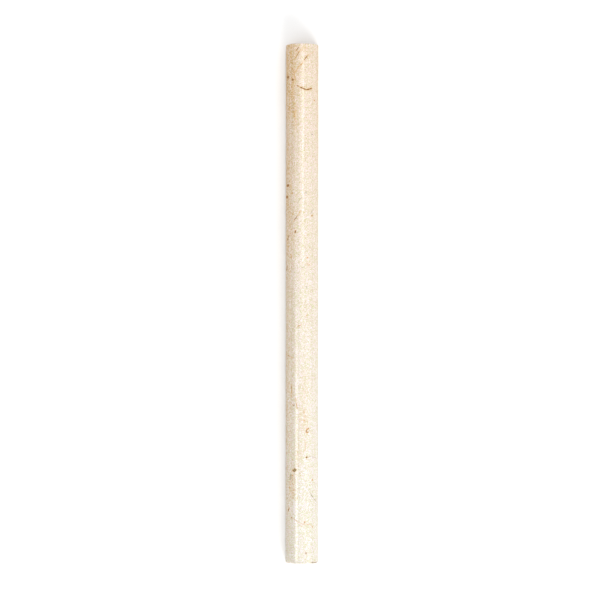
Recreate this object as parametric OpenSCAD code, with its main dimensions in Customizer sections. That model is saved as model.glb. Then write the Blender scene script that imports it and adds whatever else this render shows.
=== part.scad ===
// Pencil liner: a polished marble trim bar with a flat back, straight sides and a half-round crown.
// The origin is the centre of the back face. +Y runs along the bar towards its head end, and +Z is
// up through the crown. The natural seams, rusty wisps, pits and specks in the stone are bodies of
// another material, so each is a solid of its own, set flush in a pocket of the same shape.

/* [Bar] */
// Length of the bar, a 12 inch module
bar_length = 304.8; // [304:0.1:306]
// Width of the bar across its two flat sides
bar_width = 19.05; // [18.5:0.05:20]
// Thickness from the back face to the top of the crown
bar_thickness = 15.9; // [13:0.1:20]

/* [Seams and pits] */
// How deep the widest seams reach under the crown's surface
seam_depth = 2.4; // [1:0.1:4]
// Width of the two widest seams
seam_width = 0.6; // [0.4:0.05:0.8]
// Width of a hairline seam
hairline_width = 0.3; // [0.2:0.05:0.4]
// Radius of the one large pit
large_pit_radius = 1.05; // [0.8:0.05:1.3]
// Radius of a usual small pit
small_pit_radius = 0.42; // [0.3:0.02:0.5]

/* [Hidden] */

$fn = 96;
crown_radius = bar_width / 2;
side_height = bar_thickness - crown_radius;
hairline_depth = seam_depth / 2;
speck_radius = small_pit_radius * 0.75;
overrun = 1;

marble = "#efe2cb";
rust = "#9c6a3c";
grey = "#b3a996";
resin = "#5b4630";
speck = "#b98a4e";

// Routes of the seams seen from above, as [x, y] points in millimetres.
crescent_route = [[-3.4, 127.6], [-2.2, 127.1], [-1.1, 126.5], [0.1, 125.9], [1.3, 125.4],
                  [2.6, 125.1], [3.8, 125.4], [4.9, 125.8], [6.1, 125.8], [7.2, 125.7]];
head_diagonal_route = [[-5.4, 132.2], [-4.7, 134.3], [-3.5, 136.5], [-2.2, 138.4], [-0.6, 140.1],
                       [0.6, 141.6], [1.4, 142.9], [2.3, 144.2], [3.6, 145.6], [5.1, 146.5],
                       [6.5, 147.5], [7.6, 148.5]];
head_short_route = [[-4.1, 143.7], [-3.1, 145.3], [-2.2, 146.8], [-0.9, 148.7]];
head_corner_route = [[-4.1, 147.6], [-3.1, 148.8], [-1.9, 150.4]];
head_hairline_route = [[7.6, 120.8], [7.9, 119.0], [8.1, 117.0]];
upper_grey_route = [[1.6, 63.7], [2.3, 64.5], [3.5, 65.8]];
upper_diagonal_route = [[-5.2, 47.2], [-4.4, 48.8], [-3.1, 50.4], [-2.0, 52.1], [-1.1, 53.4],
                        [-0.5, 54.1]];
upper_hairline_route = [[-3.2, 58.1], [-2.3, 59.1], [-1.3, 60.4], [-0.1, 61.8]];
left_flank_routes = [
    [[-8.6, 36.6], [-8.2, 38.0], [-7.7, 39.7]],
    [[-9.0, 18.7], [-8.9, 20.4], [-8.7, 22.2]],
    [[-8.1, -122.1], [-7.7, -121.0], [-7.2, -119.8]],
];
middle_route = [[-3.2, -14.7], [-2.0, -13.8], [-0.8, -13.1], [0.3, -12.7]];
middle_dash_routes = [
    [[-1.3, 19.6], [0.4, 20.6], [2.0, 21.6]],
    [[2.1, 9.6], [2.6, 8.9], [3.1, 8.2]],
    [[4.9, 51.6], [5.8, 53.4], [6.7, 55.2]],
];
left_wisp_routes = [
    [[-8.8, -30.5], [-7.3, -31.6], [-5.0, -32.6]],
    [[-6.4, -47.5], [-6.0, -51.6], [-6.4, -54.3], [-5.5, -56.9]],
    [[-3.8, -55.1], [-3.3, -58.4], [-2.7, -62.8]],
];
lower_wisp_routes = [
    [[-0.8, -68.9], [0.9, -68.9], [1.8, -69.8]],
    [[1.3, -79.2], [1.9, -81.5], [2.1, -84.4], [1.7, -87.4]],
];
fossil_curl_route = [[4.3, -73.3], [3.4, -74.0], [2.6, -74.9], [2.4, -75.8], [2.9, -76.3],
                     [3.6, -75.9], [3.9, -75.0]];
foot_hairline_route = [[3.5, -90.1], [5.7, -90.2], [8.7, -91.0]];
foot_slant_route = [[3.5, -109.1], [4.7, -110.8], [5.7, -112.6], [6.6, -114.1], [8.7, -117.2]];
foot_cross_route = [[-6.5, -125.5], [-6.0, -125.8], [-4.8, -126.4], [-3.8, -127.1],
                    [-2.5, -128.1], [-1.0, -128.9], [0.4, -129.4], [2.5, -129.7],
                    [4.7, -129.8], [5.7, -130.2], [6.7, -131.3]];
foot_grey_route = [[-6.9, -103.9], [-6.5, -101.8], [-6.6, -100.0]];

// Middles of the pits and specks seen from above.
large_pit_at = [-4.4, -98.1];
small_pits_at = [[-8.4, 132.9], [-5.6, 131.1], [-8.3, 69.0], [-4.0, 41.6], [2.8, -90.5],
                 [-4.7, -60.1], [2.4, -146.3]];
specks_at = [[-5.8, 64.3], [-6.5, 26.4], [5.8, 51.1], [7.1, 119.1], [6.1, -103.8], [1.7, -128.2],
             [-7.1, -108.3], [3.2, 26.3], [2.7, -7.6]];

// Height of the crown's surface over a point at x.
function crown_height(x) = side_height + sqrt(crown_radius * crown_radius - x * x);

// Direction in which a route runs at its point i.
function heading(route, i) =
    let (step = route[min(i + 1, len(route) - 1)] - route[max(i - 1, 0)]) step / norm(step);

// A seam thins to a quarter of its width at both ends.
function taper(route, i) = (i == 0 || i == len(route) - 1) ? 0.25 : 1;

// The point beside a route's point i, half a width to its left.
function beside(route, i, width) =
    let (along = heading(route, i)) route[i] + [-along[1], along[0]] * width / 2 * taper(route, i);

module half_disc(radius) {
    intersection() {
        circle(r = radius);
        translate([-radius, 0]) square([2 * radius, radius]);
    }
}

// The bar's cross-section, drawn with the back face on the line y = 0.
module section() {
    translate([-crown_radius, 0]) square([bar_width, side_height]);
    translate([0, side_height]) half_disc(crown_radius);
}

// Stands a shape that was extruded up along the bar's length.
module along_bar() {
    rotate([90, 0, 0]) children();
}

module bar_blank() {
    along_bar() linear_extrude(bar_length, center = true) section();
}

// The full round rod that the crown is the upper half of.
module crown_rod(radius = crown_radius, length = bar_length) {
    translate([0, 0, side_height]) along_bar() cylinder(r = radius, h = length, center = true);
}

// The crown's outer layer, down to a depth under its surface.
module crown_layer(depth) {
    difference() {
        crown_rod();
        crown_rod(crown_radius - depth, bar_length + overrun);
    }
}

// Outline of a seam: its route widened to both sides.
module seam_outline(route, width) {
    last = len(route) - 1;
    polygon(concat(
        [for (i = [0:last]) beside(route, i, width)],
        [for (i = [last:-1:0]) beside(route, i, -width)]
    ));
}

// A seam: an upright sheet of mineral that fills the crown's outer layer along its route.
module seam(route, width, depth) {
    intersection() {
        crown_layer(depth);
        translate([0, 0, side_height]) linear_extrude(crown_radius + overrun) seam_outline(route, width);
    }
}

module seams(routes, width, depth) {
    for (route = routes) seam(route, width, depth);
}

// A round plug as deep as its radius, set square to the crown's surface and flush with it.
module plug(at, radius) {
    intersection() {
        crown_layer(radius);
        translate([0, at[1], side_height]) rotate([0, asin(at[0] / crown_radius), 0])
            cylinder(r = radius, h = crown_radius + overrun);
    }
}

module plugs(places, radius) {
    for (at = places) plug(at, radius);
}

module crescent_seam() {
    color(rust) seam(crescent_route, seam_width, seam_depth);
}

module head_diagonal_seam() {
    color(rust) seam(head_diagonal_route, seam_width, seam_depth);
}

module head_short_seam() {
    color(rust) seam(head_short_route, hairline_width, hairline_depth);
}

module head_corner_seam() {
    color(rust) seam(head_corner_route, hairline_width, hairline_depth);
}

module head_hairline() {
    color(grey) seam(head_hairline_route, hairline_width, hairline_depth);
}

module upper_grey_seam() {
    color(grey) seam(upper_grey_route, hairline_width, hairline_depth);
}

module upper_diagonal_seam() {
    color(rust) seam(upper_diagonal_route, hairline_width, seam_depth);
}

module upper_hairline() {
    color(grey) seam(upper_hairline_route, hairline_width, hairline_depth);
}

module left_flank_seams() {
    color(rust) seams(left_flank_routes, hairline_width, hairline_depth);
}

module middle_seam() {
    color(rust) seam(middle_route, hairline_width, hairline_depth);
}

module middle_dashes() {
    color(grey) seams(middle_dash_routes, hairline_width, hairline_depth);
}

module left_rusty_wisps() {
    color(rust) seams(left_wisp_routes, hairline_width, hairline_depth);
}

module lower_rusty_wisps() {
    color(rust) seams(lower_wisp_routes, hairline_width, hairline_depth);
}

module fossil_curl() {
    color(rust) seam(fossil_curl_route, hairline_width, hairline_depth);
}

module foot_hairline() {
    color(grey) seam(foot_hairline_route, hairline_width, hairline_depth);
}

module foot_slant_seam() {
    color(grey) seam(foot_slant_route, hairline_width, seam_depth);
}

module foot_cross_seam() {
    color(rust) seam(foot_cross_route, hairline_width, seam_depth);
}

module foot_grey_seam() {
    color(grey) seam(foot_grey_route, hairline_width, hairline_depth);
}

module large_pit_fill() {
    color(resin) intersection() {
        crown_rod();
        translate([large_pit_at[0], large_pit_at[1], crown_height(large_pit_at[0])])
            sphere(r = large_pit_radius);
    }
}

module small_pit_fills() {
    color(resin) plugs(small_pits_at, small_pit_radius);
}

module rust_specks() {
    color(speck) plugs(specks_at, speck_radius);
}

// The bar itself, with a pocket for everything that is set in it.
module stone_bar() {
    color(marble) difference() {
        bar_blank();
        crescent_seam();
        head_diagonal_seam();
        head_short_seam();
        head_corner_seam();
        head_hairline();
        upper_grey_seam();
        upper_diagonal_seam();
        upper_hairline();
        left_flank_seams();
        middle_seam();
        middle_dashes();
        left_rusty_wisps();
        lower_rusty_wisps();
        fossil_curl();
        foot_hairline();
        foot_slant_seam();
        foot_cross_seam();
        foot_grey_seam();
        large_pit_fill();
        small_pit_fills();
        rust_specks();
    }
}

stone_bar();
crescent_seam();
head_diagonal_seam();
head_short_seam();
head_corner_seam();
head_hairline();
upper_grey_seam();
upper_diagonal_seam();
upper_hairline();
left_flank_seams();
middle_seam();
middle_dashes();
left_rusty_wisps();
lower_rusty_wisps();
fossil_curl();
foot_hairline();
foot_slant_seam();
foot_cross_seam();
foot_grey_seam();
large_pit_fill();
small_pit_fills();
rust_specks();
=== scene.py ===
"""Looks of the pencil liner: a polished marble bar with its natural seams, pits and specks.

The bar is one mesh, laid out on its unrolled outline: s is the distance round the section, from the
left end of the back's flat, and y is the distance along the bar. The mesh is coarse on plain stone and
fine at every seam, pit and chip, which are carved into it. Each seam, pit filling and speck is a closed
mesh of its own, set in its groove or bowl in place of the CAD solid.
"""
import math

import bpy
import numpy as np
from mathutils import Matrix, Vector


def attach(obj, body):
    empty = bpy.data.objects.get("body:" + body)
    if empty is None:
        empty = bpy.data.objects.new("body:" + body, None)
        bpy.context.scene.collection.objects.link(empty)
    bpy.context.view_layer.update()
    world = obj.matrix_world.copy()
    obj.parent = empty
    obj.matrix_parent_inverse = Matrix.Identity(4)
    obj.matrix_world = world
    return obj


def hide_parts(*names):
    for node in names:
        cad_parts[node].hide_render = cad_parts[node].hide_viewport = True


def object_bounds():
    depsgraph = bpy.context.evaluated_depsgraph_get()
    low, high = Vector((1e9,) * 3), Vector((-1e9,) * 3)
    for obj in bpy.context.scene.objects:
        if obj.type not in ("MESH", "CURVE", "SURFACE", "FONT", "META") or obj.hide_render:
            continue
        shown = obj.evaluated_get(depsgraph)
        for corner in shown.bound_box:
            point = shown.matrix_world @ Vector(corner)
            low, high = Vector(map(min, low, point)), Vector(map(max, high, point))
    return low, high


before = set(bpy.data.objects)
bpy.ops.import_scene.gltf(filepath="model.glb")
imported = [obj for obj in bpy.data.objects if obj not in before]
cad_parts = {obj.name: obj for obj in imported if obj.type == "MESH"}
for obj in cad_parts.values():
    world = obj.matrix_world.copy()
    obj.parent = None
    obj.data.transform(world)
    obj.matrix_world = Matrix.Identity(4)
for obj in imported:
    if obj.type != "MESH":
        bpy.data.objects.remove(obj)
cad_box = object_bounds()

MM = 0.001

# The bar's own sizes, from the frame.
low, high = cad_box
LENGTH = high[1] - low[1]
CROWN_RADIUS = (high[0] - low[0]) / 2
SIDE_HEIGHT = high[2] - CROWN_RADIUS

# Mesh: a plain cell's size, how many of the smallest cells lie along its side, and how far round a
# feature each step of finer cells reaches, coarse to fine.
CELL = 0.8 * MM
FINEST = 8
REACH = (0.95 * MM, 0.32 * MM, 0.0)

# How far beyond its edge each feature is meshed finest.
SEAM_MARGIN = 0.12 * MM
PLUG_MARGIN = 0.15 * MM
SPOT_MARGIN = 0.3 * MM
CHIP_MARGIN = 0.45 * MM

# The rounding where the sides meet the back, and the usual and least easing of the end arrises.
BACK_CORNER = 0.4 * MM
ARRIS = 0.32 * MM
ARRIS_LEAST = 0.1 * MM

# The groove over a seam: how deep it is, how much wider than the seam, and how far off it is gone.
GROOVE_DEPTH = 0.12 * MM
GROOVE_LIP = 0.03 * MM
GROOVE_END = 1.0 * MM

# How uneven the polished stone is.
WAVINESS = 0.012 * MM

# Seams: slot, stain, how strongly it stains the stone beside it, and its width as a share of the CAD's.
# A stain of 0 looks like the plain stone, 1 like the light mineral and 2 like the dark mineral.
SEAM_NODES = {
    "crescent_seam": ("rust_seam", 2.0, 0.9, 1.0),
    "head_diagonal_seam": ("rust_seam", 0.65, 0.5, 0.8),
    "head_short_seam": ("rust_seam", 1.5, 0.7, 1.7),
    "head_corner_seam": ("rust_seam", 1.6, 0.6, 1.7),
    "head_hairline": ("grey_seam", 0.6, 0.1, 0.9),
    "upper_grey_seam": ("grey_seam", 0.8, 0.1, 1.2),
    "upper_diagonal_seam": ("rust_seam", 0.9, 0.35, 1.3),
    "upper_hairline": ("grey_seam", 1.0, 0.15, 1.2),
    "left_flank_seams": ("rust_seam", 2.6, 1.1, 1.5),
    "middle_seam": ("rust_seam", 1.2, 0.35, 1.2),
    "middle_dashes": ("grey_seam", 1.0, 0.15, 1.3),
    "left_rusty_wisps": ("rust_seam", 0.9, 0.5, 1.3),
    "lower_rusty_wisps": ("rust_seam", 0.7, 0.35, 1.3),
    "fossil_curl": ("rust_seam", 2.2, 0.8, 1.5),
    "foot_hairline": ("grey_seam", 0.8, 0.1, 1.3),
    "foot_slant_seam": ("grey_seam", 0.7, 0.1, 1.0),
    "foot_cross_seam": ("rust_seam", 0.62, 0.3, 1.0),
    "foot_grey_seam": ("grey_seam", 2.0, 0.5, 1.3),
}

# Where a seam or speck is darker or paler than its kind: x, y and radius in mm, and the stain to add.
DARKER = [
    (2.1, 143.6, 1.3, 1.3), (-2.2, 127.3, 1.6, -0.6), (-3.5, 49.7, 1.3, 1.8), (-6.3, -125.9, 0.8, 1.2),
    (5.9, -112.9, 1.0, 1.3), (-6.9, -102.0, 1.2, 0.9), (3.0, -69.5, 0.9, 0.7), (6.8, 125.7, 1.2, -1.5),
    (-6.6, -48.5, 2.0, 0.5), (-5.5, -57.0, 3.5, -0.5), (-4.7, -60.1, 0.5, -0.5), (2.4, -146.3, 0.5, -0.6),
    (2.7, -7.6, 0.5, -0.7), (-6.5, 26.4, 0.5, -0.3), (1.7, -128.2, 0.5, 0.2), (5.8, 51.1, 0.5, 0.7),
    (6.1, -103.8, 0.5, 0.3), (-7.1, -108.3, 0.5, 0.5), (7.1, 119.1, 0.5, 0.5),
]

# A seam's points lie this far apart, and its middle line wanders this far from the CAD's.
SEAM_STEP = 0.2 * MM
SEAM_WANDER = 0.07 * MM

# A seam's bends are eased this often, and its ends taper over this share of its length to this half width.
SEAM_EASING = 6
SEAM_TAPER = 1 / 6
SEAM_TIP = 0.02 * MM

# CAD corners this close together are one, and a CAD corner this close to the crown lies on it.
SAME_PLACE = 0.002 * MM
ON_CROWN = 0.02 * MM

# Pits and specks: slot, and how strongly they stain the stone round them. In radii, how deep the bowl is,
# and how deep the filling's top lies and how rough it is. Then how much the top rises at the edge, as a
# share of its depth, and the filling's stain at its middle and at its edge.
PLUG_NODES = {
    "large_pit_fill": {
        "slot": "pit_resin", "halo": 0.6, "bowl": 0.6, "top": 0.18, "rough": 0.12, "rise": 0.8,
        "stain": (0.8, 1.9),
    },
    "small_pit_fills": {
        "slot": "pit_resin", "halo": 0.7, "bowl": 0.5, "top": 0.1, "rough": 0.06, "rise": 0.9,
        "stain": (2.4, 2.0),
    },
    "rust_specks": {
        "slot": "rust_speck", "halo": 0.55, "bowl": 0.3, "top": 0.05, "rough": 0.03, "rise": 0.6,
        "stain": (2.0, 1.3),
    },
}

# A filling takes up this share of its bowl's radius, it is this many radii deep, and no point of its top
# is nearer to the stone's plain surface than this.
FILLING_WIDTH = 0.97
FILLING_DEPTH = 0.9
FILLING_SUNK = 0.02 * MM

# How far from a pit or speck its stain of the stone fades.
PLUG_HALO_FADE = 0.22 * MM

# Once round the strip that fills a seam: offset across in half widths, and depth in mm.
STRIP = [(-1.0, 0.035), (-0.5, 0.02), (0.0, 0.03), (0.5, 0.02), (1.0, 0.035), (0.4, 0.3), (-0.4, 0.3)]

# End faces: rings towards the middle, and how uneven the sawn stone is.
CAP_RINGS = (0.985, 0.93, 0.82, 0.68, 0.52, 0.36, 0.2, 0.08)
SAWN_RELIEF = 0.03 * MM

# Chips of the end arrises: end (1 head, -1 foot), x of the middle, half length and depth, in mm.
CHIPS = [
    (-1, 7.0, 2.6, 0.75), (-1, -3.4, 1.0, 0.22), (-1, 1.6, 0.7, 0.15),
    (1, -8.2, 1.3, 0.4), (1, 5.5, 0.9, 0.2), (1, -0.8, 0.7, 0.15),
]

# Darkened stretches of the end arrises: end, x of the middle and half length in mm, stain and strength.
# The grey one across the middle of the foot end is a painted shadow line where the end meets the floor.
ARRIS_STAINS_AND_SHADE = [
    (-1, 7.2, 2.0, "rust", 0.6), (-1, 7.2, 2.2, "grey", 0.5), (-1, -1.4, 5.0, "grey", 0.6),
    (1, -8.0, 1.5, "rust", 0.4),
]
# How far from the end they fade.
ARRIS_MARK_FADE = 0.6 * MM

# How far off a seam's stain fades, beside a seam of no width, and how far off it is gone.
SEAM_HALO_FADE = 0.15 * MM
SEAM_HALO_END = 3 * MM

# Small stains and marks with no body of their own: x, y and radius in mm, stain and strength. They reach
# SPOT_DROP
# times farther down the crown's flanks.
SPOT_DROP = 2.2
SPOTS = [
    (-9.0, 62.3, 0.75, "rust", 4.0), (-8.4, 69.0, 0.7, "rust", 4.0), (-8.4, 132.9, 0.7, "rust", 3.0),
    (-8.7, 131.2, 0.4, "rust", 1.0), (-8.6, 134.2, 0.4, "rust", 0.8), (-5.6, 131.1, 0.6, "rust", 2.2),
    (7.1, 119.1, 0.4, "rust", 0.9), (5.8, 98.8, 0.35, "grey", 1.0), (2.2, 64.6, 0.3, "grey", 0.7),
    (2.5, 64.0, 0.25, "grey", 0.6), (-5.8, 64.3, 0.35, "rust", 0.6), (5.8, 51.1, 0.45, "rust", 0.8),
    (-4.1, 41.1, 0.45, "rust", 1.5), (-3.7, 42.3, 0.35, "rust", 1.2), (3.2, 26.3, 0.45, "rust", 0.6),
    (6.1, -103.8, 0.45, "rust", 1.1), (5.4, -112.6, 0.3, "grey", 0.6), (6.0, -113.5, 0.3, "grey", 0.6),
    (-5.9, -125.8, 0.4, "rust", 1.2), (-5.9, -125.8, 0.35, "grey", 0.6), (6.3, -131.2, 0.35, "rust", 0.8),
    # The four grey marks from here on darken the foot end's chipped arris.
    (8.5, -152.1, 0.5, "grey", 2.5), (7.5, -152.2, 0.4, "grey", 2.0), (6.5, -152.1, 0.45, "grey", 2.5),
    (5.7, -152.2, 0.3, "grey", 1.5),
]

# Rust-mottled zones: x, y, radius across and along, in mm, and strength.
# The three long zones down the left flank are partly painted shade: they darken that shaded side as well
# as mottle it.
MOTTLED_AND_SHADED = [
    (-9.0, 134.0, 5.0, 30.0, 2.4), (-9.0, 60.0, 4.2, 70.0, 1.2), (-9.0, -60.0, 4.2, 100.0, 0.8),
    (-4.8, 109.0, 2.4, 9.0, 1.2), (-8.4, 134.2, 1.0, 1.8, 3.0), (0.7, 149.4, 3.0, 2.0, 0.7),
    (-2.5, 139.0, 3.6, 14.0, 0.15), (9.4, 120.0, 1.6, 50.0, 0.45), (0.8, -68.0, 2.6, 7.0, 0.9),
    (1.0, -52.0, 3.0, 12.0, 0.4), (-2.0, -88.0, 2.5, 14.0, 0.5), (4.0, 22.2, 1.8, 1.2, 0.8),
    (-8.8, -30.5, 1.2, 1.6, 1.6), (-6.0, -107.0, 2.4, 10.0, 1.2), (-6.6, 27.3, 1.0, 1.6, 2.0),
]


def darker(places):
    """How much more stain there is at each place, by the table DARKER."""
    more = np.zeros(len(places))
    for x, y, radius, most in DARKER:
        away = np.hypot(places[:, 0] - x * MM, places[:, 1] - y * MM) / (radius * MM)
        more += most * np.clip(1.5 - away, 0, 1)
    return more


def waves(points, size, seed, count=9):
    """Smooth random waves through space, about -1 to 1, whose crests lie about size apart."""
    rng = np.random.default_rng(seed)
    total = np.zeros(len(points))
    for _ in range(count):
        way = rng.normal(size=3)
        way *= 2 * math.pi / (size * rng.uniform(0.7, 1.5)) / np.linalg.norm(way)
        total += np.sin(points @ way + rng.uniform(0, 2 * math.pi))
    return total * math.sqrt(2 / count) / 1.6


# ---------------------------------------------------------------- the unrolled outline
def outline_parts():
    """The section's parts, counter-clockwise from the back: start or centre, radius, heading, length."""
    flat = CROWN_RADIUS - BACK_CORNER
    side = SIDE_HEIGHT - BACK_CORNER
    quarter = math.pi / 2
    return [
        (-flat, 0.0, 0.0, -quarter, 2 * flat),
        (flat, BACK_CORNER, BACK_CORNER, -quarter, BACK_CORNER * quarter),
        (CROWN_RADIUS, BACK_CORNER, 0.0, 0.0, side),
        (0.0, SIDE_HEIGHT, CROWN_RADIUS, 0.0, CROWN_RADIUS * math.pi),
        (-CROWN_RADIUS, SIDE_HEIGHT, 0.0, math.pi, side),
        (-flat, BACK_CORNER, BACK_CORNER, math.pi, BACK_CORNER * quarter),
    ]


PARTS = np.array(outline_parts())
STARTS = np.concatenate([[0], np.cumsum(PARTS[:, 4])])
BACK_END, CROWN_START, CROWN_END = STARTS[[1, 3, 4]]


def outline(s):
    """x, z and the outward normal's angle of the section at each distance s."""
    part = np.clip(np.searchsorted(STARTS, s, side="right") - 1, 0, len(PARTS) - 1)
    x, z, radius, heading, _ = PARTS[part].T
    gone = s - STARTS[part]
    straight = radius == 0
    angle = heading + np.where(straight, 0, gone / np.where(straight, 1, radius))
    x = x + np.where(straight, -np.sin(heading) * gone, radius * np.cos(angle))
    z = z + np.where(straight, np.cos(heading) * gone, radius * np.sin(angle))
    return x, z, angle


def surface(s, y, depth=0.0):
    """Points of the bar's surface, or at a depth under it."""
    x, z, angle = outline(s)
    return np.stack([x - depth * np.cos(angle), y + 0 * x, z - depth * np.sin(angle)], axis=-1)


def unrolled(x, y):
    """Where a point of the crown, seen from above, lies on the unrolled outline."""
    across = np.clip(np.asarray(x) / CROWN_RADIUS, -1, 1)
    return np.stack([CROWN_START + CROWN_RADIUS * np.arccos(across), np.asarray(y)], axis=-1)


# ---------------------------------------------------------------- seams, read from the CAD solids
def islands(node):
    """Each solid of a CAD node: its corners, merged, and its triangles."""
    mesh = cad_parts[node].data
    mesh.calc_loop_triangles()
    corners = np.array([v.co for v in mesh.vertices])
    _, first, merged = np.unique(np.round(corners / SAME_PLACE), axis=0, return_index=True,
                                 return_inverse=True)
    corners = corners[first]
    triangles = merged.ravel()[np.array([t.vertices for t in mesh.loop_triangles])]
    group = np.arange(len(corners))
    for _ in range(len(corners)):
        lowest = group[triangles].min(axis=1)
        before = group.copy()
        for k in range(3):
            np.minimum.at(group, triangles[:, k], lowest)
        if (group == before).all():
            break
    return [(corners, triangles[group[triangles[:, 0]] == g]) for g in np.unique(group)]


def rim(corners, triangles):
    """The closed outline of a solid's face on the crown, as unrolled points in order."""
    off_axis = np.hypot(corners[:, 0], corners[:, 2] - SIDE_HEIGHT)
    on_crown = off_axis > CROWN_RADIUS - ON_CROWN
    top = triangles[on_crown[triangles].all(axis=1)]
    edges = {(a, b) for t in top for a, b in ((t[0], t[1]), (t[1], t[2]), (t[2], t[0]))}
    following = {a: b for a, b in edges if (b, a) not in edges}
    loop = [next(iter(sorted(following)))]
    while following[loop[-1]] != loop[0]:
        loop.append(following[loop[-1]])
    return unrolled(*corners[loop][:, :2].T)


def at_shares(line, shares):
    """Points of a line at shares of its length."""
    gone = np.concatenate([[0], np.cumsum(np.linalg.norm(np.diff(line, axis=0), axis=1))])
    return np.stack([np.interp(shares * gone[-1], gone, line[:, k]) for k in range(2)], axis=-1)


def midline(loop):
    """Middle and half width of a seam: its outline, folded in two where the sides then lie closest."""
    closed = np.vstack([loop, loop[:1]])
    round_it = np.linalg.norm(np.diff(closed, axis=0), axis=1).sum()
    half = max(8, int(round_it / 2 / SEAM_STEP))
    ring = at_shares(closed, np.linspace(0, 1, 2 * half, endpoint=False))
    steps = np.arange(half + 1)
    ahead = (np.arange(half)[:, None] + steps) % (2 * half)
    behind = (np.arange(half)[:, None] - steps) % (2 * half)
    gaps = np.linalg.norm(ring[ahead] - ring[behind], axis=2)
    fold = gaps.sum(axis=1).argmin()
    return (ring[ahead[fold]] + ring[behind[fold]]) / 2, gaps[fold] / 2


def softened(line, times):
    """The line with its bends eased, and its ends where they were."""
    for _ in range(times):
        line = np.vstack([line[:1], (line[:-2] + 2 * line[1:-1] + line[2:]) / 4, line[-1:]])
    return line


class Seam:
    """One seam of a node: its unrolled middle line, and how wide and how stained it is along it."""

    def __init__(self, node, loop, seed):
        middle, half_width = midline(loop)
        self.line = softened(middle, SEAM_EASING)
        places = surface(*self.line.T)
        along = np.gradient(self.line, axis=0)
        along /= np.linalg.norm(along, axis=1, keepdims=True)
        self.beside = np.stack([-along[:, 1], along[:, 0]], axis=-1)
        self.line = self.line + self.beside * (SEAM_WANDER * waves(places, 1.3 * MM, seed))[:, None]
        self.node = node
        slot, stain, self.halo, widening = SEAM_NODES[node]
        self.rusty = slot == "rust_seam"
        usual = np.median(half_width) * widening
        shares = np.linspace(0, 1, len(middle))
        thinning = np.clip(np.minimum(shares, 1 - shares) / SEAM_TAPER, 0, 1) ** 0.7
        uneven = 0.85 + 0.4 * waves(places, 2.2 * MM, seed + 1)
        self.half_width = usual * thinning * np.clip(uneven, 0.3, 1.2) + SEAM_TIP
        patchy = 1 + 0.5 * waves(places, 2.4 * MM, seed + 2)
        self.stain = np.clip(stain * patchy + darker(places), 0, None)


class Plug:
    """A pit or speck: its unrolled middle, its radius and how much more stained than its kind it is."""

    def __init__(self, node, corners):
        lowest, highest = corners.min(axis=0), corners.max(axis=0)
        off_axis = np.hypot(corners[:, 0], corners[:, 2] - SIDE_HEIGHT)
        top = corners[off_axis > CROWN_RADIUS - ON_CROWN]
        middle = (top.min(axis=0) + top.max(axis=0)) / 2
        self.at = unrolled(middle[0], middle[1])
        self.radius = (highest[1] - lowest[1]) / 2
        self.node = node
        self.more = darker(middle[None])[0]


def all_seams():
    """The seams of every node, each with random waves of its own."""
    found = []
    for node in SEAM_NODES:
        for corners, triangles in islands(node):
            found.append(Seam(node, rim(corners, triangles), seed=10 * len(found)))
    return found


SEAMS = all_seams()
PLUGS = [Plug(node, corners[np.unique(triangles)])
         for node in PLUG_NODES for corners, triangles in islands(node)]


# ---------------------------------------------------------------- what is carved into the bar
def near_line(s, y, seam, reach):
    """Places within reach of a seam: which they are, how far off, and its half width and stain there."""
    lowest = seam.line.min(axis=0) - reach
    highest = seam.line.max(axis=0) + reach
    which = np.flatnonzero((s > lowest[0]) & (s < highest[0]) & (y > lowest[1]) & (y < highest[1]))
    places = np.stack([s[which], y[which]], axis=-1)
    start, step = seam.line[:-1], np.diff(seam.line, axis=0)
    share = ((places[:, None] - start) * step).sum(axis=2) / (step * step).sum(axis=1)
    share = np.clip(share, 0, 1)
    off = np.linalg.norm(places[:, None] - (start + share[..., None] * step), axis=2)
    k = off.argmin(axis=1)
    rows = np.arange(len(which))
    along = k + share[rows, k]
    numbers = np.arange(len(seam.line))
    half_width = np.interp(along, numbers, seam.half_width)
    return which, off[rows, k], half_width, np.interp(along, numbers, seam.stain)


def near_plug(s, y, plug, reach):
    """Places within reach of a pit or speck, and their distance and direction from its middle."""
    which = np.flatnonzero((abs(s - plug.at[0]) < reach) & (abs(y - plug.at[1]) < reach))
    away = np.stack([s[which], y[which]], axis=-1) - plug.at
    return which, np.linalg.norm(away, axis=1), np.arctan2(away[:, 1], away[:, 0])


def uneven_radius(plug, direction):
    """A pit's edge isn't round: its radius in each direction."""
    turn = plug.at[1] / MM
    uneven = 0.18 * np.sin(2 * direction + turn) + 0.06 * np.sin(5 * direction + 3 * turn)
    if plug.node == "large_pit_fill":
        uneven += 0.12 * np.cos(4 * direction) + 0.08 * np.sin(3 * direction + 1.0)
    return plug.radius * (1 + uneven)


def arris_cut(s, y, points):
    """How far the end arris is eased or chipped away at each place near it."""
    end = np.sign(y)
    x = outline(s)[0]
    size = ARRIS * (1 + 0.35 * waves(points, 2.5 * MM, seed=71))
    for chipped_end, middle, half, depth in CHIPS:
        across = (x - middle * MM) / (half * MM)
        bite = np.clip(1 - across * across, 0, 1) ** 0.5 * depth * MM
        bite *= 0.8 + 0.3 * waves(points, 0.9 * MM, seed=72)
        on_crown = (s > CROWN_START) & (s < CROWN_END)
        size = np.where((end == chipped_end) & on_crown, np.maximum(size, size + bite), size)
    size = np.clip(size, ARRIS_LEAST, None)
    from_end = LENGTH / 2 - abs(y)
    return size * np.clip(1 - from_end / size, 0, 1) ** 1.6


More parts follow.
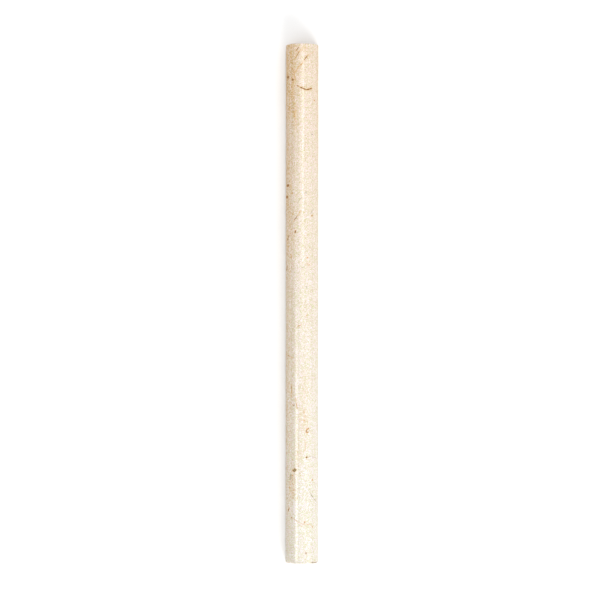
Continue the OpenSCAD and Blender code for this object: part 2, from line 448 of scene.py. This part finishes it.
def carved_depth(s, y):
    """How far the stone's surface lies under the plain outline."""
    points = surface(s, y)
    depth = WAVINESS * (1 + np.clip(waves(points, 24 * MM, seed=5), -1, 1)) / 2
    for seam in SEAMS:
        which, off, half_width, _ = near_line(s, y, seam, GROOVE_END)
        groove = GROOVE_DEPTH * np.clip(1 - (off / (half_width + GROOVE_LIP)) ** 2, 0, 1) ** 0.6
        depth[which] = np.maximum(depth[which], groove)
    for plug in PLUGS:
        which, off, direction = near_plug(s, y, plug, 2 * plug.radius)
        share = off / uneven_radius(plug, direction)
        bowl = PLUG_NODES[plug.node]["bowl"] * plug.radius * np.clip(1 - share ** 2.4, 0, 1) ** 0.7
        depth[which] = np.maximum(depth[which], bowl)
    return depth + arris_cut(s, y, points)


# ---------------------------------------------------------------- the bar's mesh
def breaks():
    """Distances round the section where plain cells meet."""
    line = [0.0]
    for start, length in zip(STARTS, PARTS[:, 4]):
        cells = max(3, round(length / CELL))
        line += list(start + length * np.arange(1, cells + 1) / cells)
    return np.array(line)


class Lattice:
    """The unrolled outline cut into plain cells, each FINEST by FINEST of the smallest ones."""

    def __init__(self):
        across = breaks()
        self.columns = len(across) - 1
        self.rows = round(LENGTH / CELL)
        self.wide = self.columns * FINEST
        self.tall = self.rows * FINEST
        self.s = np.interp(np.arange(self.wide + 1) / FINEST, np.arange(self.columns + 1), across)
        self.y = (np.arange(self.tall + 1) / self.tall - 0.5) * LENGTH

    def room(self):
        """Distance of each smallest cell from the nearest feature's edge, along the surface."""
        s = (self.s[:-1] + self.s[1:]) / 2
        y = (self.y[:-1] + self.y[1:]) / 2
        from_end = LENGTH / 2 - abs(y)
        room = np.tile(from_end.astype(np.float32), (self.wide, 1))
        far = REACH[0] + CELL
        spots = [(at, half_width + SEAM_MARGIN) for seam in SEAMS
                 for at, half_width in zip(seam.line, seam.half_width)]
        spots += [(plug.at, 1.3 * plug.radius + PLUG_MARGIN) for plug in PLUGS]
        spots += [(unrolled(x * MM, y * MM), radius * MM + SPOT_MARGIN) for x, y, radius, _, _ in SPOTS]
        for end, x, half, depth in CHIPS:
            for share in np.linspace(-1, 1, 9):
                at = unrolled((x + share * half) * MM, end * LENGTH / 2)
                bite = depth * MM * math.sqrt(1 - 0.9 * share * share)
                spots.append((at, bite + CHIP_MARGIN))
        for at, radius in spots:
            a, b = np.searchsorted(s, (at[0] - radius - far, at[0] + radius + far))
            c, d = np.searchsorted(y, (at[1] - radius - far, at[1] + radius + far))
            off = np.hypot(s[a:b, None] - at[0], y[None, c:d] - at[1]) - radius
            room[a:b, c:d] = np.minimum(room[a:b, c:d], off)
        return room

    def leaves(self):
        """The cells to use, as column, row and size in smallest cells: finer where there is less room."""
        room = self.room()
        found = []
        split = np.ones((self.columns, self.rows), bool)
        size = FINEST
        for reach in REACH:
            least = room.reshape(self.wide // size, size, self.tall // size, size).min(axis=(1, 3))
            finer = split & (least < reach)
            u, v = np.nonzero(split & ~finer)
            found.append(np.stack([u * size, v * size, np.full_like(u, size)], axis=-1))
            split = finer.repeat(2, axis=0).repeat(2, axis=1)
            size //= 2
        u, v = np.nonzero(split)
        found.append(np.stack([u, v, np.ones_like(u)], axis=-1))
        return np.concatenate(found)

    def faces(self):
        """Corner places (s, y) and faces. A cell beside finer ones takes in their corners on its edges."""
        u, v, size = self.leaves().T
        stride = self.tall + 1

        def code(column, row):
            return (column % self.wide) * stride + row

        corners = [code(u, v), code(u, v + size), code(u + size, v + size), code(u + size, v)]
        used = np.unique(np.concatenate(corners))
        half = size // 2
        middles = [code(u, v + half), code(u + half, v + size),
                   code(u + size, v + half), code(u + half, v)]
        present = [np.isin(m, used) & (size > 1) for m in middles]
        number = [np.searchsorted(used, c) for c in corners]
        middle_number = [np.searchsorted(used, m) % len(used) for m in middles]
        faces = []
        for k in range(len(u)):
            face = []
            for side in range(4):
                face.append(int(number[side][k]))
                if present[side][k]:
                    face.append(int(middle_number[side][k]))
            faces.append(face)
        return self.s[used // stride], self.y[used % stride], faces


def end_cap(points, ring, end):
    """Rings of points that close an end, and their faces. The sawn face is very slightly uneven."""
    centre = np.array([0, 0, (SIDE_HEIGHT + CROWN_RADIUS) / 2])
    rim_points = points[ring]
    added, faces = [], []
    previous = list(ring)
    first_new = len(points)
    for share in CAP_RINGS:
        row = centre + (rim_points - centre) * share
        relief = SAWN_RELIEF * (1 + np.clip(waves(row, 3.0 * MM, seed=90), -1, 1)) / 2
        row[:, 1] = end * (LENGTH / 2 - relief)
        new = list(range(first_new + len(added), first_new + len(added) + len(ring)))
        added += list(row)
        for k in range(len(ring)):
            after = (k + 1) % len(ring)
            face = [previous[k], previous[after], new[after], new[k]]
            faces.append(face if end < 0 else face[::-1])
        previous = new
    added.append(np.array([0, end * LENGTH / 2, centre[2]]))
    tip = first_new + len(added) - 1
    for k in range(len(ring)):
        face = [previous[k], previous[(k + 1) % len(ring)], tip]
        faces.append(face if end < 0 else face[::-1])
    return added, faces


def new_mesh(name, points, faces, smooth_under=40):
    """A smooth-shaded mesh object, with creases at angles over smooth_under degrees."""
    mesh = bpy.data.meshes.new(name)
    mesh.from_pydata([tuple(p) for p in points], [], faces)
    mesh.validate()
    mesh.shade_smooth()
    mesh.set_sharp_from_angle(angle=math.radians(smooth_under))
    piece = bpy.data.objects.new(name, mesh)
    bpy.context.scene.collection.objects.link(piece)
    return piece


def give_values(piece, name, values):
    """Stores one number a corner, for the material to read."""
    layer = piece.data.attributes.new(name, "FLOAT", "POINT")
    layer.data.foreach_set("value", np.asarray(values, np.float32))


def beside_seam(seam, off, half_width, stain):
    """How stained the stone is at a distance off a seam."""
    fade = seam.halo * np.exp(-off / (SEAM_HALO_FADE + 0.8 * half_width))
    return fade * np.clip(half_width / (0.1 * MM), 0, 1) * np.clip(0.2 + 0.8 * stain, 0, 1.3)


def round_plug(plug, off, direction):
    """How stained the stone is at a distance and direction from the middle of a pit or speck."""
    outside = np.clip(off - uneven_radius(plug, direction), 0, None)
    return PLUG_NODES[plug.node]["halo"] * (1 + 0.8 * plug.more) * np.exp(-outside / PLUG_HALO_FADE)


def on_spot(places, x, y, radius, most):
    """How strongly a small stain marks each place."""
    middle = surface(*unrolled(x * MM, y * MM))
    away = np.linalg.norm((places - middle) / (1, 1, SPOT_DROP), axis=1) / (radius * MM)
    return most * np.exp(-away ** 3)


def on_arris(places, end, middle, half, most):
    """How strongly a darkened stretch of an end arris, a stain or the painted shadow line, marks each
    place.
    """
    along_it = np.clip(2 - 2 * abs((places[:, 0] / MM - middle) / half), 0, 1)
    from_end = LENGTH / 2 - end * places[:, 1]
    return most * along_it * np.exp(-from_end / ARRIS_MARK_FADE)


def stains_and_shade(s, y, kind):
    """How stained the stone is at each place with one kind of stain, rust or grey, from 0; the grey
    includes a painted shadow line at the foot end.
    """
    strength = np.zeros(len(s))
    for seam in SEAMS:
        if seam.rusty == (kind == "rust"):
            which, *at_seam = near_line(s, y, seam, SEAM_HALO_END)
            strength[which] = np.maximum(strength[which], beside_seam(seam, *at_seam))
    for plug in PLUGS:
        if kind == "rust":
            which, *at_plug = near_plug(s, y, plug, 3 * plug.radius)
            strength[which] = np.maximum(strength[which], round_plug(plug, *at_plug))
    places = surface(s, y)
    for x, along, radius, spot_kind, most in SPOTS:
        if spot_kind == kind:
            strength = np.maximum(strength, on_spot(places, x, along, radius, most))
    for end, middle, half, arris_kind, most in ARRIS_STAINS_AND_SHADE:
        if arris_kind == kind:
            strength = np.maximum(strength, on_arris(places, end, middle, half, most))
    return strength


def mottling_and_shade(points):
    """How thickly the stone is mottled with rust, and on the left flank darkened as painted shade, from 0.
    Down the straight sides it fades.
    """
    strength = np.zeros(len(points))
    for x, y, across, along, most in MOTTLED_AND_SHADED:
        far = ((points[:, 0] / MM - x) / across) ** 2 + ((points[:, 1] / MM - y) / along) ** 2
        strength = np.maximum(strength, most * np.exp(-far))
    return strength * (0.3 + 0.7 * np.clip(points[:, 2] / SIDE_HEIGHT, 0, 1))


def make_bar():
    """The stone, with how stained, mottled or sawn it is at each corner; the grey stain and the mottling
    also hold painted shade.
    """
    lattice = Lattice()
    s, y, faces = lattice.faces()
    plain = surface(s, y)
    points = surface(s, y, carved_depth(s, y))
    values = {"rust": stains_and_shade(s, y, "rust"), "grey": stains_and_shade(s, y, "grey"), "mottle_and_shade": mottling_and_shade(plain),
              "sawn": (s < BACK_END).astype(float)}
    count = len(points)
    for end in (-1, 1):
        ring = np.flatnonzero(abs(y - end * LENGTH / 2) < SAME_PLACE)
        ring = ring[np.argsort(s[ring])]
        added, cap_faces = end_cap(points, ring, end)
        points = np.vstack([points, added])
        faces += cap_faces
    extra = len(points) - count
    bar = new_mesh("marble_bar", points, faces)
    for name, numbers in values.items():
        give_values(bar, name, np.concatenate([numbers, np.full(extra, float(name == "sawn"))]))
    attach(bar, "root")
    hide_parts("stone_bar")
    return bar


# ---------------------------------------------------------------- seams, pit fillings and specks
def ribbon(seam):
    """A closed strip along a seam: its top just under the stone's surface, its keel under the groove."""
    points = []
    rows = zip(seam.line, seam.half_width, seam.beside)
    for (s, y), half_width, (beside_s, beside_y) in rows:
        for share, depth in STRIP:
            off = share * half_width
            points.append(surface(np.array(s + off * beside_s), np.array(y + off * beside_y), depth * MM))
    sides, last = len(STRIP), len(seam.line) - 1
    faces = [[k * sides + j, k * sides + (j + 1) % sides, (k + 1) * sides + (j + 1) % sides,
              (k + 1) * sides + j] for k in range(last) for j in range(sides)]
    faces.append(list(range(sides))[::-1])
    faces.append([last * sides + j for j in range(sides)])
    return np.array(points), faces, np.repeat(seam.stain, sides)


def filling(plug, rings=6, sides=20):
    """A closed lump in a pit's bowl: a rough top under the surface, and a rounded bottom."""
    shape = PLUG_NODES[plug.node]
    rows = [(k / rings, False) for k in range(1, rings + 1)]
    rows += [(k / rings, True) for k in range(rings - 1, 0, -1)]
    top_centre, bottom_centre = 0, 1 + len(rows) * sides
    angles = np.arange(sides) * 2 * math.pi / sides
    edge = FILLING_WIDTH * uneven_radius(plug, angles)
    points = [surface(*[np.array(v) for v in plug.at], shape["top"] * plug.radius)]
    for share, below in rows:
        s = plug.at[0] + share * edge * np.cos(angles)
        y = plug.at[1] + share * edge * np.sin(angles)
        lumps = shape["rough"] * plug.radius * waves(surface(s, y), 0.9 * plug.radius, seed=33)
        depth = shape["top"] * plug.radius * (1 - share * share * shape["rise"]) + lumps * (1 - share ** 4)
        bottom = (shape["top"] + FILLING_DEPTH * math.sqrt(max(0, 1 - share * share))) * plug.radius
        depth = np.full(sides, bottom) if below else np.maximum(depth, FILLING_SUNK)
        points += list(surface(s, y, depth))
    points.append(surface(*[np.array(v) for v in plug.at], (shape["top"] + FILLING_DEPTH) * plug.radius))
    faces = []
    for j in range(sides):
        after = (j + 1) % sides
        faces.append([top_centre, 1 + after, 1 + j])
        for k in range(len(rows) - 1):
            a, b = 1 + k * sides, 1 + (k + 1) * sides
            faces.append([a + j, a + after, b + after, b + j])
        last = 1 + (len(rows) - 1) * sides
        faces.append([bottom_centre, last + j, last + after])
    inner, outer = np.array(shape["stain"]) + plug.more
    shares = np.concatenate([[0], np.repeat([share for share, _ in rows], sides), [0]])
    return np.array(points), faces, inner + (outer - inner) * shares


def joined(solids):
    """Several closed solids as one list of points, of faces and of stains."""
    points, faces, stained = [], [], []
    for more, more_faces, more_stained in solids:
        shift = len(points)
        points += list(more)
        faces += [[corner + shift for corner in face] for face in more_faces]
        stained += list(more_stained)
    return points, faces, stained


def make_inlays():
    """One piece for each CAD node of seams, pits or specks, with its slot."""
    made = {}
    slots = {node: look[0] for node, look in SEAM_NODES.items()}
    slots.update({node: shape["slot"] for node, shape in PLUG_NODES.items()})
    for node, slot in slots.items():
        solids = [ribbon(seam) for seam in SEAMS if seam.node == node]
        solids += [filling(plug) for plug in PLUGS if plug.node == node]
        points, faces, stained = joined(solids)
        piece = new_mesh(node + "_inlay", points, faces, smooth_under=60)
        give_values(piece, "stain", stained)
        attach(piece, "root")
        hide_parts(node)
        made[piece] = slot
    return made


# ---------------------------------------------------------------- materials
class Nodes:
    """Short calls for building a material's nodes."""

    def __init__(self, name):
        self.material = bpy.data.materials.new(name)
        self.material.use_nodes = True
        self.tree = self.material.node_tree
        self.shader = self.tree.nodes["Principled BSDF"]
        self.place = self.tree.nodes.new("ShaderNodeTexCoord").outputs["Object"]

    def add(self, kind, **settings):
        node = self.tree.nodes.new(kind)
        for name, value in settings.items():
            setattr(node, name, value)
        return node

    def put(self, socket, value):
        """Links an output, or sets a plain value."""
        if isinstance(value, bpy.types.NodeSocket):
            self.tree.links.new(value, socket)
        else:
            socket.default_value = value

    def mapped(self, size, turned=(0, 1), long=1):
        """Places in units of a feature's size; features are long times longer the way they are turned."""
        mapping = self.add("ShaderNodeMapping", vector_type="TEXTURE")
        self.put(mapping.inputs["Vector"], self.place)
        mapping.inputs["Rotation"].default_value = (0, 0, math.atan2(-turned[0], turned[1]))
        mapping.inputs["Scale"].default_value = (size, size * long, size)
        return mapping.outputs[0]

    def noise(self, size, detail=2.0, distortion=0.0, **how):
        """Noise whose features are about size across, from 0 to 1."""
        noise = self.add("ShaderNodeTexNoise")
        self.put(noise.inputs["Vector"], self.mapped(size, **how))
        noise.inputs["Scale"].default_value = 1.0
        noise.inputs["Detail"].default_value = detail
        noise.inputs["Distortion"].default_value = distortion
        return noise.outputs["Fac"]

    def cells(self, size):
        """Cells of about that size: the distance from a cell's middle, and three random numbers for it."""
        cells = self.add("ShaderNodeTexVoronoi")
        self.put(cells.inputs["Vector"], self.mapped(size))
        cells.inputs["Scale"].default_value = 1.0
        chances = self.add("ShaderNodeSeparateColor")
        self.put(chances.inputs[0], cells.outputs["Color"])
        return cells.outputs["Distance"], chances.outputs

    def coordinate(self, axis):
        """The place along one axis."""
        node = self.add("ShaderNodeSeparateXYZ")
        self.put(node.inputs[0], self.place)
        return node.outputs[axis]

    def centred(self, value):
        return self.math("SUBTRACT", value, 0.5)

    def ramp(self, value, low, high, to_low=0.0, to_high=1.0):
        """The value, rescaled from low..high and clamped."""
        node = self.add("ShaderNodeMapRange", clamp=True)
        for socket, number in zip(node.inputs, (value, low, high, to_low, to_high)):
            self.put(socket, number)
        return node.outputs[0]

    def math(self, operation, a, b=0.0):
        node = self.add("ShaderNodeMath", operation=operation)
        self.put(node.inputs[0], a)
        self.put(node.inputs[1], b)
        return node.outputs[0]

    def value(self, name):
        return self.add("ShaderNodeAttribute", attribute_name=name).outputs["Fac"]

    def mix(self, share, first, second, blend="MIX"):
        node = self.add("ShaderNodeMix", data_type="RGBA", blend_type=blend)
        self.put(node.inputs["Factor"], share)
        self.put(node.inputs["A"], first if isinstance(first, bpy.types.NodeSocket) else (*first, 1))
        self.put(node.inputs["B"], second if isinstance(second, bpy.types.NodeSocket) else (*second, 1))
        return node.outputs["Result"]

    def bump(self, height, distance):
        node = self.add("ShaderNodeBump")
        node.inputs["Strength"].default_value = 1.0
        node.inputs["Distance"].default_value = distance
        self.put(node.inputs["Height"], height)
        return node.outputs["Normal"]

    def finish(self, **inputs):
        """Sets the shader's inputs, named with underscores for spaces."""
        for name, value in inputs.items():
            self.put(self.shader.inputs[name.replace("_", " ")], value)
        return self.material


# Colours of the stone's crystals, and tints that multiply them.
YELLOW = (0.59, 0.565, 0.30)
PINK = (0.885, 0.82, 0.90)
GREENISH = (1.0, 1.12, 1.02)
ROSY = (1.0, 0.88, 0.98)
HEAD = (0.98, 0.87, 0.79)
SAWN = (0.82, 0.75, 0.68)
SAW_MARKS = (0.80, 0.78, 0.75), (1.08, 1.08, 1.08)

# Colours of its stains. GREY also paints the shadow line at the foot end's arris.
TAN = (0.66, 0.41, 0.17)
# GOLD and FLECK, where the left flank is mottled, also darken that shaded side as painted shade.
GOLD = (0.76, 0.48, 0.20)
FLECK = (0.58, 0.34, 0.12)
RUST = (0.36, 0.15, 0.04)
GREY = (0.18, 0.145, 0.095)

# The minerals of the seams, fillings and specks: light colour, dark colour and roughness.
MINERALS = {
    "rust_seam": ((0.68, 0.38, 0.11), (0.20, 0.085, 0.018), 0.45),
    "grey_seam": ((0.50, 0.43, 0.28), (0.22, 0.17, 0.09), 0.45),
    "pit_resin": ((0.48, 0.36, 0.16), (0.12, 0.05, 0.015), 0.5),
    "rust_speck": ((0.66, 0.33, 0.08), (0.24, 0.095, 0.018), 0.5),
}

# The stone's crystals, how far their colours reach past yellow and pink, and the wider changes of tone:
# their size and how much of each there is.
CRYSTAL = 0.28 * MM
CRYSTAL_CONTRAST = 1.4
TONES = [(2.2 * MM, 0.04), (6.0 * MM, 0.08), (16 * MM, 0.14)]

# The faint streaks slant this way, and the stone turns tan between these places along the bar, in metres.
SLANT = (0.58, 0.81)
TANNING = (-0.12, 0.14)

# Roughness and shine of the polished crown, and of honed and sawn stone. The crown turns from polished to
# honed between these shares of its radius, to either side.
POLISHED = (0.14, 0.5)
DULL = (0.6, 0.08)
HONING = (0.60, 0.90)


def stone_colour(n):
    """The marble's own colour: crystals from yellow to pink, faint slanting streaks, tan at the head."""
    _, crystal = n.cells(CRYSTAL)
    share = n.math("ADD", n.math("MULTIPLY", n.centred(crystal[0]), CRYSTAL_CONTRAST), 0.5)
    for size, amount in TONES:
        share = n.math("ADD", share, n.math("MULTIPLY", n.centred(n.noise(size, 1)), amount))
    streaks = n.centred(n.noise(0.3 * MM, 1, turned=SLANT, long=20))
    streaky = n.ramp(n.noise(14 * MM, 1), 0.42, 0.62, 0.0, 1.2)
    share = n.math("ADD", share, n.math("MULTIPLY", streaks, streaky))
    colour = n.mix(share, YELLOW, PINK)
    colour = n.mix(1.0, colour, n.mix(crystal[1], ROSY, GREENISH), "MULTIPLY")
    return n.mix(n.ramp(n.coordinate("Y"), *TANNING), colour, n.mix(1.0, colour, HEAD, "MULTIPLY"))


def with_mottling_and_shade(n, colour):
    """Long golden streaks and broken flecks of rust where the stone is mottled; on the left flank they
    also paint shade.
    """
    golden = n.ramp(n.noise(0.45 * MM, 2, long=24), 0.42, 0.68)
    golden = n.math("MULTIPLY", golden, n.ramp(n.value("mottle_and_shade"), 0.1, 1.6, 0.0, 0.9))
    _, fleck = n.cells(0.55 * MM)
    patches = n.ramp(n.noise(1.6 * MM, 2, 0.5), 0.3, 0.65, 0.3, 1.1)
    flecks = n.math("MULTIPLY", n.ramp(fleck[0], 0.55, 0.85), patches)
    flecks = n.math("MULTIPLY", flecks, n.value("mottle_and_shade"))
    return n.mix(flecks, n.mix(golden, colour, GOLD), FLECK)


def with_specks(n, colour):
    """Tiny tan specks, scattered all over."""
    distance, speck = n.cells(2.6 * MM)
    near = n.math("LESS_THAN", distance, n.ramp(speck[0], 0.55, 1.0, 0.0, 0.16))
    return n.mix(n.math("MULTIPLY", near, n.ramp(speck[1], 0.0, 1.0, 0.2, 0.9)), colour, TAN)


def with_stains_and_shade(n, colour):
    """Rust and grey beside the seams, round the pits, at the small stains and on the end arrises; grey
    also paints a shadow line at the foot end.
    """
    broken = n.ramp(n.noise(0.5 * MM, 3, 0.4), 0.3, 0.65, 0.5, 1.0)
    rust = n.math("MULTIPLY", n.value("rust"), broken)
    colour = n.mix(n.ramp(rust, 0.0, 0.5), colour, TAN)
    colour = n.mix(n.ramp(rust, 0.4, 1.0), colour, RUST)
    return n.mix(n.math("MULTIPLY", n.value("grey"), broken), colour, GREY)


def marble():
    """Polished on the crown, honed down its sides, and marked by the saw where it is sawn."""
    n = Nodes("marble")
    colour = with_stains_and_shade(n, with_specks(n, with_mottling_and_shade(n, stone_colour(n))))
    sawn = n.value("sawn")
    saw_marks = n.noise(0.4 * MM, 2, turned=(1, 0), long=40)
    marked = n.mix(1.0, n.mix(n.ramp(saw_marks, 0.3, 0.7), *SAW_MARKS), SAWN, "MULTIPLY")
    colour = n.mix(sawn, colour, n.mix(1.0, colour, marked, "MULTIPLY"))
    inner, outer = (share * CROWN_RADIUS for share in HONING)
    dull = n.math("MAXIMUM", n.ramp(n.math("ABSOLUTE", n.coordinate("X")), inner, outer), sawn)
    roughness, shine = (n.ramp(dull, 0.0, 1.0, *ends) for ends in zip(POLISHED, DULL))
    bump = n.bump(n.math("MULTIPLY", saw_marks, sawn), 0.05 * MM)
    return n.finish(Base_Color=colour, Roughness=roughness, IOR=1.6, Specular_IOR_Level=shine, Normal=bump)


def mineral(name, light, dark, rough):
    """A seam's or filling's mineral. Where its stain is weak, the stone's own colour shows through."""
    n = Nodes(name)
    broken = n.ramp(n.noise(0.7 * MM, 2, 0.4), 0.35, 0.6, 0.5, 1.25)
    stain = n.math("MULTIPLY", n.value("stain"), broken)
    grainy = n.ramp(n.noise(0.25 * MM, 2, 0.4), 0.35, 0.65, 0.0, 0.35)
    light_grained = n.mix(grainy, light, dark)
    colour = n.mix(n.ramp(stain, 0.0, 1.0), stone_colour(n), light_grained)
    colour = n.mix(n.ramp(stain, 1.0, 2.0), colour, dark)
    bump = n.bump(n.noise(0.25 * MM, 2), 0.02 * MM)
    return n.finish(Base_Color=colour, Roughness=rough, Specular_IOR_Level=0.15, Normal=bump)


def make_materials(bar, inlays):
    """Marble for the bar, and each inlay's mineral by its slot."""
    bar.data.materials.append(marble())
    by_slot = {slot: mineral(slot, *look) for slot, look in MINERALS.items()}
    for piece, slot in inlays.items():
        piece.data.materials.append(by_slot[slot])


# ---------------------------------------------------------------- floor, light and camera
# The camera: place in metres, turn in degrees, and lens in millimetres.
CAMERA_AT = (0, -0.057, 1.540)
CAMERA_TURN = (2.195, 0.043, 0.050)
CAMERA_LENS = 156.35

# How strongly the white world lights the bar, where the camera sees it as 1.
FILL = 0.06

# How far the floor reaches, how far under the bar it lies, and its colour.
FLOOR_REACH = 10 * LENGTH
FLOOR_DROP = 0.05 * MM
FLOOR_WHITE = (0.95, 0.95, 0.95, 1)


def make_floor():
    """A plain floor just under the bar, small enough that its far edge still looks white."""
    around = ((-1, -1), (1, -1), (1, 1), (-1, 1))
    corners = [(x * FLOOR_REACH, y * FLOOR_REACH, -FLOOR_DROP) for x, y in around]
    floor = new_mesh("floor", corners, [[0, 1, 2, 3]])
    n = Nodes("floor_paper")
    floor.data.materials.append(n.finish(Base_Color=FLOOR_WHITE, Roughness=0.9))


# Soft boxes overhead, facing down: from and to across (x) and along (y) in metres, and radiance.
# The narrow ones are what the polished crown mirrors as long highlights.
CEILING_HEIGHT = 3.0
CEILING = {
    "foot_outer": (-3.3, -2.52, -3.6, 0.105, 3.5),
    "foot_inner": (-2.52, -1.77, -3.6, 0.105, 4.9),
    "foot_gap": (-1.77, -1.05, -3.6, 0.105, 0.5),
    "foot_wide": (-1.05, 10.5, -3.6, 0.105, 0.9),
    "head_outer": (-3.7, -2.9, 0.12, 3.6, 2.2),
    "head_inner": (-1.05, 0.1, 0.12, 3.6, 1.45),
    "head_narrow": (0.1, 0.6, 0.12, 3.6, 4.3),
    "head_wide": (0.6, 10.5, 0.12, 3.6, 0.52),
}


def panel(name, size, radiance, at):
    """A soft rectangular light that the camera doesn't see."""
    light = bpy.data.lights.new(name, "AREA")
    light.shape = "RECTANGLE"
    light.size, light.size_y = size
    light.energy = radiance * math.pi * size[0] * size[1]
    lamp = bpy.data.objects.new(name, light)
    bpy.context.scene.collection.objects.link(lamp)
    lamp.location = at
    lamp.visible_camera = False
    return lamp


# Banks beyond the ends that face the bar: place and size in metres, and radiance. The low ones are what
# the crown mirrors when it is seen from an end.
BANKS = {
    "foot_bank": ((1.5, -3.9, 2.1), (3.0, 2.1), 8.55),
    "head_bank": ((1.5, 3.9, 2.1), (3.0, 2.1), 1.86),
    "foot_low": ((0, -3.3, 0.6), (3.0, 1.2), 0.7),
    "head_low": ((0, 3.3, 0.6), (3.0, 1.2), 0.7),
}


def make_lights():
    """The ceiling and the banks."""
    for name, (left, right, near, far, radiance) in CEILING.items():
        middle = ((left + right) / 2, (near + far) / 2, CEILING_HEIGHT)
        panel(name, (right - left, far - near), radiance, middle)
    for name, (at, size, radiance) in BANKS.items():
        bank = panel(name, size, radiance, at)
        bank.rotation_euler = (-Vector(at)).to_track_quat("-Z", "Y").to_euler()


def make_world():
    """A white studio: what the camera sees past the floor is white, and it lights the bar only faintly."""
    world = bpy.data.worlds.new("studio")
    bpy.context.scene.world = world
    world.use_nodes = True
    tree = world.node_tree
    background = tree.nodes["Background"]
    background.inputs["Color"].default_value = (1, 1, 1, 1)
    seen = tree.nodes.new("ShaderNodeLightPath")
    strength = tree.nodes.new("ShaderNodeMapRange")
    tree.links.new(seen.outputs["Is Camera Ray"], strength.inputs["Value"])
    strength.inputs["To Min"].default_value = FILL
    strength.inputs["To Max"].default_value = 1.0
    tree.links.new(strength.outputs[0], background.inputs["Strength"])


def make_camera():
    """Almost straight above the bar, far off with a long lens, and leaning a little towards its head."""
    camera = bpy.data.cameras.new("camera")
    camera.lens = CAMERA_LENS
    camera.sensor_width = 36
    camera.clip_end = 10
    view = bpy.data.objects.new("camera", camera)
    bpy.context.scene.collection.objects.link(view)
    view.location = CAMERA_AT
    view.rotation_euler = [math.radians(turn) for turn in CAMERA_TURN]
    bpy.context.scene.camera = view


bpy.context.scene.view_settings.view_transform = "Standard"
make_camera()
marble_bar = make_bar()
inlays = make_inlays()
make_materials(marble_bar, inlays)
make_floor()
make_lights()
make_world()
